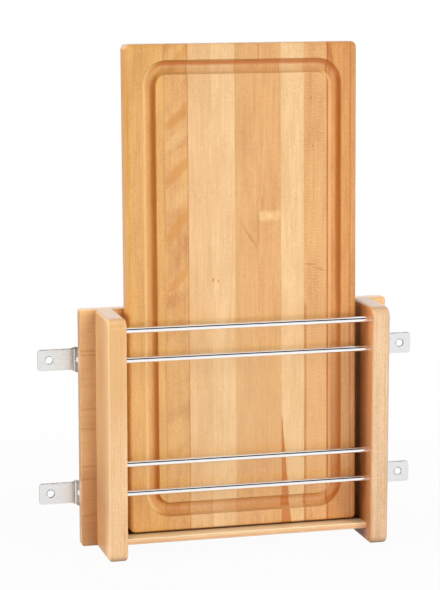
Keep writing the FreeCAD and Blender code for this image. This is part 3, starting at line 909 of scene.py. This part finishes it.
class RACK_OT_stage(bpy.types.Operator):
    """Add the floor, the studio light and the camera"""

    bl_idname = "board_rack.stage"
    bl_label = "Stage"

    FLOOR_HALF = 30.0
    FLOOR_GAP = 0.0006           # between the feet and the floor
    PAPER_TONE = (0.50, 0.50, 0.50, 1.0)
    LAMP_AIM = (0.0, -0.05, 0.12)
    DAYLIGHT = (1.0, 0.98, 0.95)
    EVENING = (1.0, 0.89, 0.76)
    # Each softbox: degrees to the right of the front, degrees up, distance, size,
    # power in watts and colour.
    LAMPS = {
        "key_high": (33.0, 36.0, 4.5, 1.6, 47.5, DAYLIGHT),
        "key_low": (42.0, 14.0, 4.5, 1.1, 49.0, DAYLIGHT),
        "front": (4.0, 2.0, 1.15, 0.32, 5.1, DAYLIGHT),
        "overhead": (0.0, 82.0, 3.0, 2.4, 42.0, DAYLIGHT),
        "left_side": (-87.0, 15.0, 3.2, 1.2, 71.0, EVENING),
        "back": (155.0, 14.0, 3.5, 1.6, 60.0, DAYLIGHT),
    }

    def execute(self, context):
        """Build the whole stage."""
        studio = context.scene.studio
        self.floor()
        self.world(context.scene, studio.fill)
        self.lamps(context.scene)
        self.camera(context.scene, studio)
        context.scene.view_settings.view_transform = "Standard"
        return {"FINISHED"}

    def floor(self):
        """A wide square just under the feet."""
        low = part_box("left_upright")[0].z - self.FLOOR_GAP
        half = self.FLOOR_HALF
        corners = np.array([(-half, -half), (half, -half), (half, half), (-half, half)])
        points = np.column_stack([corners, np.full(len(corners), low)])
        mesh = bpy.data.meshes.new("floor")
        mesh.from_pydata(points.tolist(), [], [(0, 1, 2, 3)])
        floor = bpy.data.objects.new("floor", mesh)
        bpy.context.scene.collection.objects.link(floor)
        mesh.materials.append(self.floor_material())

    def floor_material(self):
        """White paper: it keeps its shadow, and shows nothing from below.

        For the camera it is nearly all white light, so its shadow stays faint. In the
        metal it is white ahead and to the right, and less so far behind.
        """
        made = Surface("floor_paper")
        path = made.node("ShaderNodeLightPath", {}, {}, None)
        camera = Field(made, path.outputs["Is Camera Ray"])
        glossy = Field(made, path.outputs["Is Glossy Ray"])
        paper = made.node("ShaderNodeBsdfDiffuse", {}, {"Color": self.PAPER_TONE}, "BSDF")
        white = made.node("ShaderNodeEmission", {}, {"Strength": 1.0}, "Emission")
        x, y, _ = made.split(made.coordinates("Object"))
        far = made.step((x * x + y * y) ** 0.5, 0.15, 0.75)
        ahead = made.fall(y, -0.2, 0.2) * made.step(x, -1.1, -0.5)
        behind = made.step(y, 1.1, 1.7) * 0.30
        whiteness = camera * (0.96 + far * 0.04) + glossy * (ahead + behind)
        inputs = {"Fac": whiteness, "Shader": paper, "Shader_001": white}
        shown = made.node("ShaderNodeMixShader", {}, inputs, "Shader")
        geometry = made.node("ShaderNodeNewGeometry", {}, {}, None)
        below = Field(made, geometry.outputs["Backfacing"])
        clear = made.node("ShaderNodeBsdfTransparent", {}, {}, "BSDF")
        inputs = {"Fac": below, "Shader": shown, "Shader_001": clear}
        both = made.node("ShaderNodeMixShader", {}, inputs, "Shader")
        made.node("ShaderNodeOutputMaterial", {}, {"Surface": both}, None)
        return made.material

    @staticmethod
    def world(scene, fill):
        """White for the camera, soft for the wood, and a dark band ahead for the metal."""
        scene.world = bpy.data.worlds.new("studio")
        scene.world.use_nodes = True
        made = Nodes(scene.world.node_tree)
        path = made.node("ShaderNodeLightPath", {}, {}, None)
        camera = Field(made, path.outputs["Is Camera Ray"])
        glossy = Field(made, path.outputs["Is Glossy Ray"])
        _, y, up = made.split(made.coordinates("Generated"))
        band = made.step(up, 0.26, 0.34) * made.fall(up, 0.85, 0.93)
        reflected = 1 - band * made.fall(y, -0.2, 0.0) * 0.96
        soft = (1 - camera) * (1 - glossy) * fill
        strength = camera + glossy * reflected + soft
        inputs = {"Color": (1, 1, 1, 1), "Strength": strength}
        light = made.node("ShaderNodeBackground", {}, inputs, "Background")
        made.node("ShaderNodeOutputWorld", {}, {"Surface": light}, None)

    def lamps(self, scene):
        """Square softboxes, each aimed at the middle of the board."""
        for name, (side, up, distance, size, power, colour) in self.LAMPS.items():
            lamp = bpy.data.lights.new(name, "AREA")
            lamp.shape = "SQUARE"
            lamp.size = size
            lamp.energy = power
            lamp.color = colour
            box = bpy.data.objects.new(name, lamp)
            box.visible_glossy = False      # the studio around is what metal reflects
            scene.collection.objects.link(box)
            turn, tilt = math.radians(side), math.radians(up)
            way = (
                math.sin(turn) * math.cos(tilt), -math.cos(turn) * math.cos(tilt),
                math.sin(tilt),
            )
            box.location = np.array(self.LAMP_AIM) + distance * np.array(way)
            box.rotation_euler = (math.pi / 2 - tilt, 0, turn)

    @staticmethod
    def camera(scene, studio):
        """A long lens, looking slightly down and to the right."""
        lens = bpy.data.cameras.new("camera")
        lens.lens = studio.camera_lens
        lens.clip_end = 100.0
        camera = bpy.data.objects.new("camera", lens)
        scene.collection.objects.link(camera)
        camera.location = studio.camera_place
        camera.rotation_euler = (math.pi / 2 - studio.camera_dip, 0, -studio.camera_turn)
        scene.camera = camera


class RACK_PT_panel(bpy.types.Panel):
    """The rack's pieces and settings, in the sidebar of the 3D view"""

    bl_idname = "RACK_PT_panel"
    bl_label = "Board Rack"
    bl_space_type = "VIEW_3D"
    bl_region_type = "UI"
    bl_category = "Board Rack"

    def draw(self, context):
        """List the settings and one button for each group of pieces."""
        for name in SETTINGS:
            box = self.layout.box()
            group = getattr(context.scene, name)
            for key in group.__annotations__:
                box.prop(group, key)
        for operator in OPERATORS:
            self.layout.operator(operator.bl_idname)


SETTINGS = {
    "board_finish": BoardSettings,
    "rack_finish": RackSettings,
    "metal_finish": MetalSettings,
    "studio": StudioSettings,
}
OPERATORS = (
    RACK_OT_board, RACK_OT_uprights, RACK_OT_panel,
    RACK_OT_shelf, RACK_OT_metal, RACK_OT_stage,
)


def register():
    """Register the settings, the operators and the sidebar panel."""
    for name, group in SETTINGS.items():
        bpy.utils.register_class(group)
        setattr(bpy.types.Scene, name, bpy.props.PointerProperty(type=group))
    for kind in (*OPERATORS, RACK_PT_panel):
        bpy.utils.register_class(kind)


def unregister():
    """Take everything away again, in reverse order."""
    for kind in reversed((*OPERATORS, RACK_PT_panel)):
        bpy.utils.unregister_class(kind)
    for name, group in reversed(SETTINGS.items()):
        delattr(bpy.types.Scene, name)
        bpy.utils.unregister_class(group)


def main():
    register()
    for operator in OPERATORS:
        family, name = operator.bl_idname.split(".")
        getattr(getattr(bpy.ops, family), name)()


if __name__ == "__main__":
    main()
